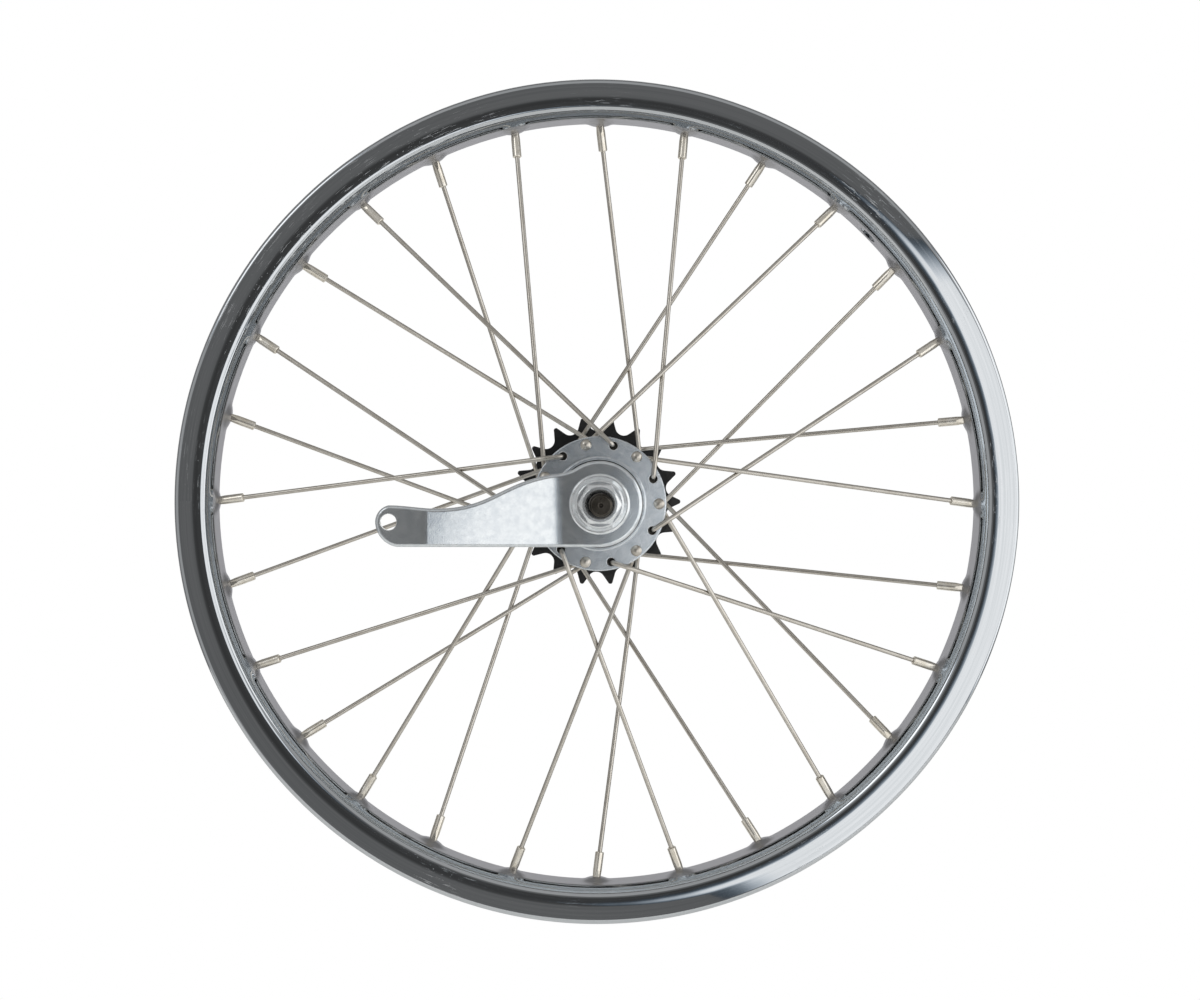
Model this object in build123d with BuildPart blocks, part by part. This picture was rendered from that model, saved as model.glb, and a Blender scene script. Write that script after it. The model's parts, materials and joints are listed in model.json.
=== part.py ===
from build123d import *
import os
from math import asin, cos, hypot, radians, sin, tan

# Child's bicycle rear wheel: rolled steel rim, crossed spokes and a back-pedal brake hub.
# The axle lies along Y with the brake arm at -Y and the sprocket at +Y. +Z is up and the
# origin is the wheel's centre. All sizes are in millimetres and angles run from +X to +Z.

# Rim
rim_outer_r = 185.0
rim_width = 26.0
rim_sheet = 1.2
rim_arcs = 14
rim_wall_depth = 12.0
rim_depth = 16.5
rim_well_flat = 13.8
rim_bead_r = 1.3
rim_bead_proud = 0.1
rim_shoulder_r = 4.3
rim_slope_bend_depth = 15.1
rim_slope_bend_y = 9.35
rim_slope_bend_r = 8.0
rim_well_corner_r = 1.5
dimple_base_r = 5.5
dimple_top_r = 2.9
dimple_height = 1.4
rim_hole_r = 2.45
rim_hole_stagger = 2.0
valve_hole_r = 4.25
valve_angle = 45.0

# Spokes and nipples
spokes_per_group = 7
spoke_d = 2.0
spoke_head_r = 2.35
spoke_head_h = 1.15
spoke_elbow_r = 1.8
spoke_gap = 0.15
flange_run = 7.6
flange_bend_r = 8.0
crossing_bend_r = 40.0
nipple_r = 1.95
nipple_head_r = 3.1
nipple_length = 12.6
nipple_flat_depth = 0.38
nipple_flat_length = 4.6
nipple_slot_w = 0.9
nipple_slot_depth = 0.8
nipple_stand = 0.3
nipple_crown = 1.5
thread_gap = 0.05

# Hub shell
flange_left = 30.0
flange_right = 29.0
flange_r = 28.9
flange_t = 2.5
flange_hole_circle_r = 25.75
flange_hole_r = 1.8
flange_hole_lag = 0.5
flange_edge = 0.5
flange_root_r = 2.5
collar_edge = 0.7
drum_r = 14.8
shell_wall = 3.7
barrel_taper_start = 8.0
barrel_taper_end = 18.0
seat_start = 6.0
seat_length = 7.0
seat_drop = 1.6
collar_wall = 1.4
collar_overhang = 4.0
left_ball_setback = 4.0
right_ball_setback = 2.5

# Bearings
ball_r = 3.175
ball_circle_r = 15.0
ball_count = 9
cone_ball_r = 1.985
cone_ball_circle_r = 9.3
cone_ball_count = 9
race_clearance = 0.125
race_relief = 0.4
cage_t = 0.8
cage_margin = 0.45
pocket_clearance = 0.15

# Axle, nuts and cones
axle_r = 4.75
axle_core_r = 4.4
axle_step_gap = 0.5
axle_length = 165.0
axle_chamfer = 0.8
over_locknuts = 110.0
nut_hex_h = 7.0
nut_hex_af = 16.0
nut_flange_r = 12.85
nut_flange_t = 2.0
nut_countersink_r = 6.2
nut_chamfer = 1.1
nut_dish_in_r = 9.7
nut_dish_floor_r = 10.1
nut_dish_out_r = 11.7
nut_dish_depth = 0.45
brake_cone_boss_r = 8.0
brake_cone_boss_af = 13.0
brake_cone_boss_inset = 0.2
brake_cone_neck_r = 11.0
race_flange_r = 16.0
race_flange_t = 0.8
right_cone_r = 10.4
right_cone_af = 17.0
right_cone_flats = 3.5
lock_washer_t = 1.5
lock_washer_r = 9.5
right_nut_h = 5.0
right_nut_af = 17.0
right_nut_countersink_r = 5.4

# Brake arm
arm_t = 3.0
arm_head_r = 18.2
arm_hole_x = -88.3
arm_hole_z = -7.8
arm_hole_r = 3.4
arm_end_reach = 5.6
arm_end_top = 7.0
arm_end_turn = 0.32
arm_end_lower_x = 3.3
arm_upper_edge = ((-71.5, -2.0), (-52.0, 0.4), (-34.6, 8.3), (-20.0, 12.4))
arm_neck_angle = 122.0
arm_bend_inner_x = -18.5
arm_bend_outer_x = -73.5
arm_joggle = 5.5
arm_bend_r = 30.0
arm_key_gap = 0.1
arm_edge = 1.4

# Dust caps
cap_sheet = 0.8
cap_gap = 0.4
cap_skirt = 2.6

# Brake
shoe_left = -25.5
shoe_right = -3.5
shoe_mouth_r = 12.75
shoe_bore_r = 10.6
shoe_gap = 0.4
shoe_travel = 0.3
shoe_split = 3.0
shoe_groove_w = 1.2
shoe_groove_depth = 0.6
brake_taper = 0.36
taper_gap = 0.3
cone_nose_extra = 0.5
cone_root_length = 1.5
key_gap = 0.3
key_r = 13.6
clutch_travel = 3.0
clutch_r = 14.2
clutch_nose_r = 9.9
seat_gap = 0.3
spring_wire_r = 0.6
spring_groove_gap = 0.2
spring_arc = 330.0

# Driver and sprocket
screw_r = 8.3
screw_start = -7.0
screw_gap = 0.1
driver_bore_r = 5.4
driver_shoulder_gap = 0.4
sprocket_seat_r = 17.4
sprocket_teeth = 18
chain_pitch = 12.7
roller_seat_r = 3.95
sprocket_tip_r = 38.8
tooth_flank_angle = 35.0
tooth_tip_r = 0.95
sprocket_bevel_r = 34.6
sprocket_bevel_t = 1.3
sprocket_t = 2.8
sprocket_y = 40.0
sprocket_fit = 0.05
lug_count = 3
lug_depth = 1.7
lug_w = 5.5
lug_gap = 0.1
snap_ring_t = 1.1
snap_ring_depth = 1.0
snap_ring_stand = 0.9
snap_ring_gap = 0.05
snap_ring_arc = 335.0
driver_lip = 1.5

# Stations along the axle, worked out from the sizes above
nut_face_y = -over_locknuts / 2
nut_flange_y = nut_face_y + nut_hex_h
arm_outer_y = nut_flange_y + nut_flange_t
arm_inner_y = arm_outer_y + arm_t
right_nut_y = over_locknuts / 2 - right_nut_h
lock_washer_y = right_nut_y - lock_washer_t
race_r = ball_r + race_clearance
cone_race_r = cone_ball_r + race_clearance
left_ball_y = -flange_left - left_ball_setback
right_ball_y = flange_right + right_ball_setback
race_flange_y = left_ball_y - race_r - race_relief
axle_bore_r = axle_core_r + thread_gap
collar_in_r = ball_circle_r + race_r + race_relief
collar_out_r = collar_in_r + collar_wall
barrel_r = drum_r + shell_wall
seat_bore_r = drum_r - seat_drop
barrel_right_r = barrel_r - seat_drop
sprocket_in_y = sprocket_y - sprocket_t / 2
sprocket_out_y = sprocket_y + sprocket_t / 2
snap_groove_end_y = sprocket_out_y + snap_ring_t + 2 * snap_ring_gap
driver_end_y = snap_groove_end_y + driver_lip
cone_ball_y = sprocket_y + (snap_groove_end_y - sprocket_out_y)
rim_well_r = rim_outer_r - rim_depth
spoke_r = spoke_d / 2
spoke_count = 4 * spokes_per_group
hole_step = 360 / spoke_count
lace_angle = 4 * hole_step

from_base = (Align.CENTER, Align.CENTER, Align.MIN)

os.makedirs("parts", exist_ok=True)


# Write one finished piece to its own file
def save(piece, label):
    piece.label = label
    export_step(piece, f"parts/{label}.step")


# Plane square to the axle at y, with local X and Y along +X and +Z
def across(y):
    return Plane.XZ.offset(-y)


# Point at a radius and angle around the axle
def around(radius, angle, y=0.0):
    return Vector(radius * cos(radians(angle)), y, radius * sin(radians(angle)))


# Rim: a rolled strip with beaded edges, turned about the axle
dimple_planes = []
recess_planes = []
for index in range(spoke_count):
    angle = index * hole_step
    stagger = -rim_hole_stagger if index % 2 == 0 else rim_hole_stagger
    top = around(rim_well_r - dimple_height, angle, stagger)
    dimple_planes.append(Plane(top, z_dir=around(1.0, angle)))
    floor = around(rim_well_r - dimple_height + rim_sheet, angle, stagger)
    recess_planes.append(Plane(floor, z_dir=around(1.0, angle)))
valve_plane = Plane(around(rim_well_r, valve_angle), z_dir=around(1.0, valve_angle))
with BuildPart() as rim:
    with BuildSketch(Plane.XY):
        with BuildLine():
            wall_y = rim_width / 2 - rim_bead_proud
            well = rim_well_flat / 2
            bead_centre_r = rim_outer_r - rim_bead_r
            bead_centre_y = rim_width / 2 - rim_bead_r
            corner_r = rim_outer_r - rim_wall_depth
            bend_r = rim_outer_r - rim_slope_bend_depth
            turns = [rim_shoulder_r, rim_slope_bend_r, rim_well_corner_r]
            strip = FilletPolyline(
                (bead_centre_r, -wall_y),
                (corner_r, -wall_y),
                (bend_r, -rim_slope_bend_y),
                (rim_well_r, -well),
                (rim_well_r, well),
                (bend_r, rim_slope_bend_y),
                (corner_r, wall_y),
                (bead_centre_r, wall_y),
                radius=[*turns, *reversed(turns)],
            )
            offset(strip, amount=rim_sheet, side=Side.RIGHT, closed=True)
        make_face()
        with Locations((bead_centre_r, bead_centre_y), (bead_centre_r, -bead_centre_y)):
            Circle(rim_bead_r)
    revolve(axis=Axis.Y)
    # Pressed dimples seat the nipples, each staggered towards its own flange
    with Locations(*dimple_planes):
        Cone(dimple_top_r, dimple_base_r, dimple_height + rim_sheet / 2, align=from_base)
    with Locations(*recess_planes):
        Cone(dimple_top_r, dimple_base_r, dimple_height, align=from_base, mode=Mode.SUBTRACT)
    with Locations(*recess_planes):
        Cylinder(rim_hole_r, 4 * rim_sheet, mode=Mode.SUBTRACT)
    with Locations(valve_plane):
        Cylinder(valve_hole_r, 4 * rim_sheet, mode=Mode.SUBTRACT)
# The strip is stored as touching arcs, so that collision can follow the ring
arc_half = 180 / rim_arcs
arc_reach = 2 * rim_outer_r
arc_solids = []
for index in range(rim_arcs):
    middle = valve_angle + 2 * index * arc_half
    start = around(arc_reach, middle - arc_half)
    end = around(arc_reach, middle + arc_half)
    with BuildPart() as rim_arc:
        add(rim.part)
        with BuildSketch(across(0)):
            with BuildLine():
                Polyline((0, 0), (start.X, start.Z), (end.X, end.Z), close=True)
            make_face()
        extrude(amount=rim_width, both=True, mode=Mode.INTERSECT)
    arc_solids.extend(rim_arc.solids())
save(Compound(arc_solids), "rim")

# Spokes: each lies in a plane that holds its flange hole's axis and its nipple's seat
seat_r = rim_well_r - dimple_height + rim_sheet
spoke_run = (around(seat_r, lace_angle) - around(flange_hole_circle_r, 0.0)).length


# Distance from the flange hole to the outer crossing, seen along the axle
def crossing_distance():
    run = around(seat_r, lace_angle) - around(flange_hole_circle_r, 0.0)
    slope = tan(radians(0.75 * lace_angle))
    return run.length * flange_hole_circle_r * slope / (run.Z - run.X * slope)


# Corner points of a spoke in its own plane, from its head to its nipple, and its bend radii
def spoke_route(flange, outside):
    cross = crossing_distance()
    face = flange_t / 2 + spoke_gap
    midway = rim_hole_stagger + (flange - rim_hole_stagger) * (1 - cross / spoke_run)
    pass_by = spoke_r + spoke_gap / 2
    end = (spoke_run, rim_hole_stagger)
    if outside:
        elbow = flange + face + spoke_r
        points = [(0, flange - face), (0, elbow), (flange_run, elbow), (cross, midway - pass_by), end]
        return points, [spoke_elbow_r, flange_bend_r, crossing_bend_r]
    elbow = flange - face - spoke_r
    points = [(0, flange + face), (0, elbow), (cross, midway + pass_by), end]
    return points, [spoke_elbow_r, crossing_bend_r]


# Plane of the spoke whose nipple is at an angle: local X towards the nipple, local Y outboard
def spoke_plane(nipple_angle, lean, side):
    start = around(flange_hole_circle_r, nipple_angle - lean * lace_angle)
    towards = (around(seat_r, nipple_angle) - start).normalized()
    return Plane(start, x_dir=towards, z_dir=towards.cross(Vector(0, side, 0)))


# Domed head on the shank's axis, standing off the flange face at base, its crown pointing way
def spoke_head(base, way):
    dome_r = (spoke_head_r**2 + spoke_head_h**2) / (2 * spoke_head_h)
    centre = base + way * (spoke_head_h - dome_r)
    half_angle = asin(spoke_head_r / dome_r) / 2
    crown = (0, base + way * spoke_head_h)
    shoulder = (dome_r * sin(half_angle), centre + way * dome_r * cos(half_angle))
    Polyline(crown, (0, base), (spoke_head_r, base))
    ThreePointArc((spoke_head_r, base), shoulder, crown)


# First rim hole of each group, which way it leans, its flange and its side of that flange
groups = {
    "left_out": {"first": 2, "lean": 1, "side": -1, "flange": flange_left, "outside": True},
    "left_in": {"first": 0, "lean": -1, "side": -1, "flange": flange_left, "outside": False},
    "right_out": {"first": 1, "lean": -1, "side": 1, "flange": flange_right, "outside": True},
    "right_in": {"first": 3, "lean": 1, "side": 1, "flange": flange_right, "outside": False},
}

nipple_planes = []
flange_holes = {-1: [], 1: []}
for name, group in groups.items():
    corners, bends = spoke_route(group["flange"], group["outside"])
    lane = spoke_plane(group["first"] * hole_step, group["lean"], group["side"])
    with BuildPart() as spoke:
        with BuildLine(lane) as route:
            FilletPolyline(*corners, radius=bends)
        with BuildSketch(Plane(route.line @ 0, z_dir=route.line % 0)):
            Circle(spoke_r)
        sweep(path=route.line)
        with BuildSketch(lane):
            with BuildLine():
                spoke_head(corners[0][1], -1 if group["outside"] else 1)
            make_face()
        revolve(axis=Axis(lane.origin, (0, 1, 0)))
    for turn in range(spokes_per_group):
        angle = turn * 4 * hole_step
        save(spoke.part.rotate(Axis.Y, -angle), f"spoke_{name}_{turn + 1}")
        home = spoke_plane(group["first"] * hole_step + angle, group["lean"], group["side"])
        hole = home.from_local_coords((-flange_hole_lag, 0, 0))
        flange_holes[group["side"]].append((hole.X, hole.Z))
        seat = home.from_local_coords((*corners[-1], 0))
        aim = seat - home.from_local_coords((*corners[-2], 0))
        nipple_planes.append(Plane(seat, x_dir=home.z_dir, z_dir=aim))

# One nipple along +Z, its seat at the origin, hub end below and slotted head above
with BuildPart() as nipple:
    with BuildSketch(Plane.XZ):
        with BuildLine():
            bore_r = spoke_r + thread_gap
            flare_top = nipple_stand + nipple_head_r - nipple_r
            crown = flare_top + nipple_crown
            Polyline(
                (0, crown),
                (0, nipple_stand),
                (bore_r, nipple_stand),
                (bore_r, -nipple_length),
                (nipple_r - nipple_stand, -nipple_length),
                (nipple_r, nipple_stand - nipple_length),
                (nipple_r, nipple_stand),
                (nipple_head_r, flare_top),
            )
            TangentArc((nipple_head_r, flare_top), (0, crown), tangent=(-0.35, 1))
        make_face()
    revolve(axis=Axis.Z)
    with Locations((0, 0, crown)):
        Box(2 * nipple_head_r, nipple_slot_w, 2 * nipple_slot_depth, mode=Mode.SUBTRACT)
    for quarter in range(4):
        with BuildSketch(Plane.XZ.rotated((0, 0, 90 * quarter))):
            with BuildLine():
                Polyline(
                    (nipple_r - nipple_flat_depth, 0),
                    (nipple_r, -nipple_flat_length),
                    (2 * nipple_r, -nipple_flat_length),
                    (2 * nipple_r, 0),
                    close=True,
                )
            make_face()
        extrude(amount=nipple_r, both=True, mode=Mode.SUBTRACT)
with BuildPart() as nipples:
    with Locations(*nipple_planes):
        add(nipple.part)
save(nipples.part, "nipples")

# Hub shell: flanged drum with a bearing cup at each end and a conical clutch seat inside
left_out_y = -flange_left - flange_t / 2
left_in_y = -flange_left + flange_t / 2
right_in_y = flange_right - flange_t / 2
right_out_y = flange_right + flange_t / 2
left_end_y = left_ball_y - collar_overhang
right_end_y = right_ball_y + collar_overhang


# Round edges of a radius that lie in the plane at y
def rings(part, radius, y):
    circles = part.edges().filter_by(GeomType.CIRCLE)
    return circles.filter_by(lambda edge: abs(edge.radius - radius) + abs(edge.center().Y - y) < 0.01)


with BuildPart() as hub_shell:
    with BuildSketch(Plane.XY):
        with BuildLine():
            Polyline(
                (collar_in_r, left_end_y),
                (collar_in_r, left_ball_y),
                (ball_circle_r + race_r, left_ball_y),
            )
            CenterArc((ball_circle_r, left_ball_y), race_r, 0, 90)
            Polyline(
                (ball_circle_r, left_ball_y + race_r),
                (drum_r, left_ball_y + race_r + race_relief),
                (drum_r, seat_start),
                (seat_bore_r, seat_start + seat_length),
                (seat_bore_r, right_ball_y - race_r),
                (ball_circle_r, right_ball_y - race_r),
            )
            CenterArc((ball_circle_r, right_ball_y), race_r, -90, 90)
            Polyline(
                (ball_circle_r + race_r, right_ball_y),
                (collar_in_r, right_ball_y),
                (collar_in_r, right_end_y),
                (collar_out_r, right_end_y),
                (collar_out_r, right_out_y),
                (flange_r, right_out_y),
                (flange_r, right_in_y),
                (barrel_right_r, right_in_y),
                (barrel_right_r, barrel_taper_end),
                (barrel_r, barrel_taper_start),
                (barrel_r, left_in_y),
                (flange_r, left_in_y),
                (flange_r, left_out_y),
                (collar_out_r, left_out_y),
                (collar_out_r, left_end_y),
                (collar_in_r, left_end_y),
            )
        make_face()
    revolve(axis=Axis.Y)
    for y in (left_out_y, left_in_y, right_in_y, right_out_y):
        fillet(rings(hub_shell, flange_r, y), flange_edge)
    fillet(rings(hub_shell, barrel_r, left_in_y), flange_root_r)
    fillet(rings(hub_shell, barrel_right_r, right_in_y), flange_root_r)
    fillet(rings(hub_shell, collar_out_r, left_end_y), collar_edge)
    fillet(rings(hub_shell, collar_out_r, right_end_y), collar_edge)
    # Each spoke pulls its elbow to one side of its hole
    for y, side in ((-flange_left, -1), (flange_right, 1)):
        with BuildSketch(across(y)):
            with Locations(*flange_holes[side]):
                Circle(flange_hole_r)
        extrude(amount=flange_t, both=True, mode=Mode.SUBTRACT)
save(hub_shell.part, "hub_shell")

# Axle: its thread is plain, at full size on the free ends and at mean size where nuts and cones sit
with BuildPart() as axle:
    with BuildSketch(Plane.XY):
        with BuildLine():
            step_y = over_locknuts / 2 + axle_step_gap
            end_y = axle_length / 2
            Polyline(
                (0, 0),
                (axle_core_r, 0),
                (axle_core_r, step_y),
                (axle_r, step_y),
                (axle_r, end_y - axle_chamfer),
                (axle_r - axle_chamfer, end_y),
                (0, end_y),
                close=True,
            )
        make_face()
        mirror(about=Plane.XZ)
    revolve(axis=Axis.Y)
save(axle.part, "axle")


# Hexagon along the axle between two faces, its corners turned off at the outer one
def hexagon(across_flats, inner_y, outer_y):
    corner_r = across_flats / 2 / cos(radians(30))
    inward = 1 if inner_y > outer_y else -1
    with BuildPart() as body:
        with BuildSketch(across(outer_y)):
            RegularPolygon(across_flats / 2, 6, major_radius=False)
        extrude(amount=outer_y - inner_y)
        with BuildSketch(Plane.XY):
            with BuildLine():
                Polyline(
                    (0, inner_y),
                    (corner_r + nut_chamfer, inner_y),
                    (corner_r + nut_chamfer, outer_y + inward * 2 * nut_chamfer),
                    (across_flats / 2 - nut_chamfer / 2, outer_y),
                    (0, outer_y),
                    close=True,
                )
            make_face()
        revolve(axis=Axis.Y, mode=Mode.INTERSECT)
    return body.part


# Left lock nut: hexagon on a round, dished flange, countersunk at its face
with BuildPart() as left_lock_nut:
    add(hexagon(nut_hex_af, nut_flange_y, nut_face_y))
    with BuildSketch(across(nut_flange_y)):
        Circle(nut_flange_r)
    extrude(amount=-nut_flange_t)
    fillet(rings(left_lock_nut, nut_flange_r, nut_flange_y), nut_flange_t / 2)
    with BuildSketch(Plane.XY):
        with BuildLine():
            Polyline(
                (nut_dish_in_r, nut_flange_y),
                (nut_dish_floor_r, nut_flange_y + nut_dish_depth),
                (nut_dish_out_r, nut_flange_y),
                close=True,
            )
        make_face()
    revolve(axis=Axis.Y, mode=Mode.SUBTRACT)
    with BuildSketch(Plane.XY):
        with BuildLine():
            Polyline(
                (0, nut_face_y),
                (nut_countersink_r, nut_face_y),
                (axle_bore_r, nut_face_y + nut_countersink_r - axle_bore_r),
                (axle_bore_r, arm_outer_y),
                (0, arm_outer_y),
                close=True,
            )
        make_face()
    revolve(axis=Axis.Y, mode=Mode.SUBTRACT)
save(left_lock_nut.part, "left_lock_nut")

# Brake arm: pressed plate with a round head, stepped outwards towards its fixing hole
arm_end_y = arm_outer_y - arm_joggle
arm_end_x = arm_hole_x - arm_end_reach
arm_top_z = arm_hole_z + arm_end_top
arm_low_x = arm_hole_x + arm_end_lower_x
arm_neck = around(arm_head_r, arm_neck_angle)
with BuildPart() as brake_arm:
    with BuildSketch(across(arm_inner_y)):
        with BuildLine():
            lower_turn = (
                arm_end_x + arm_end_turn * (arm_low_x - arm_end_x),
                arm_end_turn * (arm_hole_z + arm_head_r) - arm_head_r,
            )
            Line((0, -arm_head_r), (arm_low_x, -arm_head_r))
            ThreePointArc((arm_low_x, -arm_head_r), lower_turn, (arm_end_x, arm_hole_z))
            TangentArc((arm_end_x, arm_hole_z), (arm_hole_x, arm_top_z), tangent=(0, 1))
            Spline(
                (arm_hole_x, arm_top_z),
                *arm_upper_edge,
                (arm_neck.X, arm_neck.Z),
                tangents=((1, 0), (arm_neck.Z, -arm_neck.X)),
            )
            Polyline((arm_neck.X, arm_neck.Z), (0, 0), (0, -arm_head_r))
        make_face()
        Circle(arm_head_r)
    extrude(amount=arm_joggle + 2 * arm_t)
    with BuildSketch(Plane.XY):
        with BuildLine():
            outer_face = FilletPolyline(
                (2 * arm_head_r, arm_outer_y),
                (arm_bend_inner_x, arm_outer_y),
                (arm_bend_outer_x, arm_end_y),
                (2 * arm_end_x, arm_end_y),
                radius=[2 * arm_bend_r, arm_bend_r],
            )
            offset(outer_face, amount=arm_t, side=Side.RIGHT, closed=True)
        make_face()
    extrude(amount=2 * arm_head_r, both=True, mode=Mode.INTERSECT)
    outline = brake_arm.edges().filter_by(Axis.Y, reverse=True).filter_by(Axis.Z, reverse=True)
    fillet(outline, arm_edge)
    with BuildSketch(across(arm_inner_y)):
        with Locations((arm_hole_x, arm_hole_z)):
            Circle(arm_hole_r)
    extrude(amount=arm_joggle + 2 * arm_t, mode=Mode.SUBTRACT)
    with BuildSketch(across(arm_inner_y)):
        Circle(brake_cone_boss_r + arm_key_gap)
        Rectangle(4 * brake_cone_boss_r, brake_cone_boss_af + 2 * arm_key_gap, mode=Mode.INTERSECT)
    extrude(amount=arm_t, mode=Mode.SUBTRACT)
save(brake_arm.part, "brake_arm")

# Brake cone: fixed race and tapered nose, keyed to the arm by two flats
nose_y = shoe_left + (shoe_mouth_r - shoe_bore_r) / brake_taper + cone_nose_extra
cone_mouth_y = shoe_left - cone_nose_extra
taper_r = shoe_mouth_r - taper_gap
with BuildPart() as brake_cone:
    with BuildSketch(Plane.XY):
        with BuildLine():
            neck_r = ball_circle_r - race_r - race_relief
            Polyline(
                (axle_bore_r, nose_y),
                (axle_bore_r, arm_outer_y + brake_cone_boss_inset),
                (brake_cone_boss_r, arm_outer_y + brake_cone_boss_inset),
                (brake_cone_boss_r, arm_inner_y),
                (brake_cone_neck_r, arm_inner_y),
                (brake_cone_neck_r, race_flange_y - race_flange_t),
                (race_flange_r, race_flange_y - race_flange_t),
                (race_flange_r, race_flange_y),
                (ball_circle_r, race_flange_y),
                (ball_circle_r, left_ball_y - race_r),
            )
            CenterArc((ball_circle_r, left_ball_y), race_r, 180, 90)
            Polyline(
                (ball_circle_r - race_r, left_ball_y),
                (neck_r, left_ball_y),
                (neck_r, cone_mouth_y - cone_root_length),
                (taper_r + brake_taper * cone_nose_extra, cone_mouth_y),
                (taper_r - brake_taper * (nose_y - shoe_left), nose_y),
                (axle_bore_r, nose_y),
            )
        make_face()
    revolve(axis=Axis.Y)
    # Two keys stand in the gaps between the shoes and stop them turning
    with BuildSketch(across(cone_mouth_y)):
        Rectangle(2 * key_r, shoe_split - 2 * key_gap)
        Circle(taper_r - (shoe_mouth_r - shoe_bore_r), mode=Mode.SUBTRACT)
    extrude(amount=cone_mouth_y - nose_y + cone_nose_extra)
    with BuildSketch(across(arm_inner_y)):
        Circle(2 * brake_cone_boss_r)
        Rectangle(4 * brake_cone_boss_r, brake_cone_boss_af, mode=Mode.SUBTRACT)
    extrude(amount=arm_t, mode=Mode.SUBTRACT)
save(brake_cone.part, "brake_cone")

# Left dust cap: pressed cup on the brake cone, its skirt inside the shell's mouth
with BuildPart() as left_dust_cap:
    with BuildSketch(Plane.XY):
        with BuildLine():
            seat_y = race_flange_y - race_flange_t
            skirt_r = collar_in_r - cap_gap
            Polyline(
                (brake_cone_neck_r + thread_gap, seat_y),
                (brake_cone_neck_r + thread_gap, seat_y - cap_sheet),
                (skirt_r, seat_y - cap_sheet),
                (skirt_r, race_flange_y),
                (skirt_r - cap_sheet, race_flange_y),
                (skirt_r - cap_sheet, seat_y),
                close=True,
            )
        make_face()
    revolve(axis=Axis.Y)
save(left_dust_cap.part, "left_dust_cap")


# Ring of balls around the axle
def ball_ring(circle_r, y, radius, count):
    with BuildPart(across(y)) as balls:
        with PolarLocations(circle_r, count):
            Sphere(radius)
    return balls.part


# Coned cage that lies between the two races, with a round pocket for each ball
def ball_cage(circle_r, y, radius, count, slope):
    pocket_r = radius + pocket_clearance
    with BuildPart(across(y)) as cage:
        with BuildSketch(Plane.XY):
            with Locations((circle_r, y)):
                Rectangle(2 * (pocket_r + cage_margin), cage_t, rotation=slope)
        revolve(axis=Axis.Y)
        with PolarLocations(circle_r, count):
            Sphere(pocket_r, mode=Mode.SUBTRACT)
    return cage.part


save(ball_ring(ball_circle_r, left_ball_y, ball_r, ball_count), "left_balls")
save(ball_cage(ball_circle_r, left_ball_y, ball_r, ball_count, -45), "left_ball_cage")
save(ball_ring(ball_circle_r, right_ball_y, ball_r, ball_count), "driver_balls")
save(ball_cage(ball_circle_r, right_ball_y, ball_r, ball_count, 45), "driver_ball_cage")
save(ball_ring(cone_ball_circle_r, cone_ball_y, cone_ball_r, cone_ball_count), "cone_balls")
save(ball_cage(cone_ball_circle_r, cone_ball_y, cone_ball_r, cone_ball_count, 45), "cone_ball_cage")

# Brake shoes: two half sleeves with a tapered mouth at each end and grease grooves outside
shoe_r = drum_r - shoe_gap
mouth_length = (shoe_mouth_r - shoe_bore_r) / brake_taper
with BuildPart() as brake_shoe_lower:
    with BuildSketch(Plane.XY):
        with BuildLine():
            Polyline(
                (shoe_r, shoe_left),
                (shoe_mouth_r, shoe_left),
                (shoe_bore_r, shoe_left + mouth_length),
                (shoe_bore_r, shoe_right - mouth_length),
                (shoe_mouth_r, shoe_right),
                (shoe_r, shoe_right),
                close=True,
            )
        make_face()
        with Locations((shoe_r, shoe_left + mouth_length), (shoe_r, shoe_right - mouth_length)):
            Rectangle(2 * shoe_groove_depth, shoe_groove_w, mode=Mode.SUBTRACT)
    revolve(axis=Axis.Y, revolution_arc=180)
    with BuildSketch(across(shoe_left)):
        Rectangle(4 * shoe_r, shoe_split)
    extrude(amount=shoe_left - shoe_right, mode=Mode.SUBTRACT)
with BuildPart() as brake_shoe_upper:
    mirror(brake_shoe_lower.part, about=Plane.XY)
save(brake_shoe_lower.part, "brake_shoe_lower")
save(brake_shoe_upper.part, "brake_shoe_upper")

# Clutch cone: slides along the driver, wedging the shoes or gripping the shell's seat
clutch_taper_r = shoe_mouth_r - taper_gap - (clutch_travel * brake_taper - shoe_travel)
clutch_nose_y = shoe_right - (clutch_taper_r - clutch_nose_r) / brake_taper
clutch_full_y = shoe_right + (clutch_r - clutch_taper_r) / brake_taper
seat_slope = seat_drop / seat_length
clutch_end_y = seat_start + seat_length
clutch_seat_y = seat_start + (drum_r - seat_gap - clutch_r) / seat_slope
clutch_bore_r = screw_r + screw_gap
spring_r = clutch_r - spring_wire_r
groove_r = spring_r - spring_wire_r - spring_groove_gap
groove_half = spring_wire_r + spring_groove_gap
groove_y = (clutch_full_y + clutch_seat_y) / 2
with BuildPart() as clutch_cone:
    with BuildSketch(Plane.XY):
        with BuildLine():
            Polyline(
                (clutch_bore_r, clutch_nose_y),
                (clutch_nose_r, clutch_nose_y),
                (clutch_r, clutch_full_y),
                (clutch_r, groove_y - groove_half),
                (groove_r, groove_y - groove_half),
                (groove_r, groove_y + groove_half),
                (clutch_r, groove_y + groove_half),
                (clutch_r, clutch_seat_y),
                (seat_bore_r - seat_gap, clutch_end_y),
                (clutch_bore_r, clutch_end_y),
                close=True,
            )
        make_face()
    revolve(axis=Axis.Y)
save(clutch_cone.part, "clutch_cone")

# Drag spring: open ring of round wire in the clutch's groove
with BuildPart() as drag_spring:
    with BuildSketch(Plane.XY):
        with Locations((spring_r, groove_y)):
            Circle(spring_wire_r)
    revolve(axis=Axis.Y, revolution_arc=spring_arc)
save(drag_spring.part, "drag_spring")

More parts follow.
